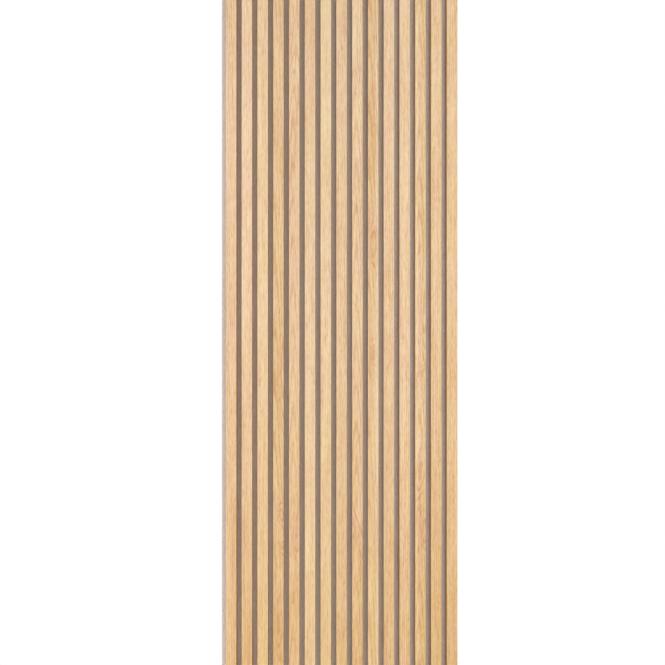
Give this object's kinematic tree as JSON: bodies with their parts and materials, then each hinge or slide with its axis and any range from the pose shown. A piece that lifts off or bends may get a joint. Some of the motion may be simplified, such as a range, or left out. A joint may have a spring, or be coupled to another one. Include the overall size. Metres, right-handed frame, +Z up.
{
  "type": "slatted acoustic wall panel",
  "caption": "Upright wall panel of parallel oak slats stapled to a grey felt backing board, with a bare felt margin down one long edge for butting the next panel.",
  "frame": {"origin": "centre of the felt's back face, which lies on the wall", "axes": "+X across the slats to the right as seen from the room, +Y into the wall, +Z up along the slats"},
  "size_m": [0.6, 0.021, 2.4],
  "materials": {
    "oak": "matt clear oil over light oak grain",
    "grey_felt": "needle-punched grey polyester felt",
    "galvanised_wire": "galvanised flat wire"
  },
  "bodies": {
    "root": {"felt_backing": "grey_felt", "slat_01": "oak", "slat_02": "oak", "slat_03": "oak", "slat_04": "oak", "slat_05": "oak", "slat_06": "oak", "slat_07": "oak", "slat_08": "oak", "slat_09": "oak", "slat_10": "oak", "slat_11": "oak", "slat_12": "oak", "slat_13": "oak", "slat_14": "oak", "slat_15": "oak", "staples": "galvanised_wire"}
  },
  "joints": []
}
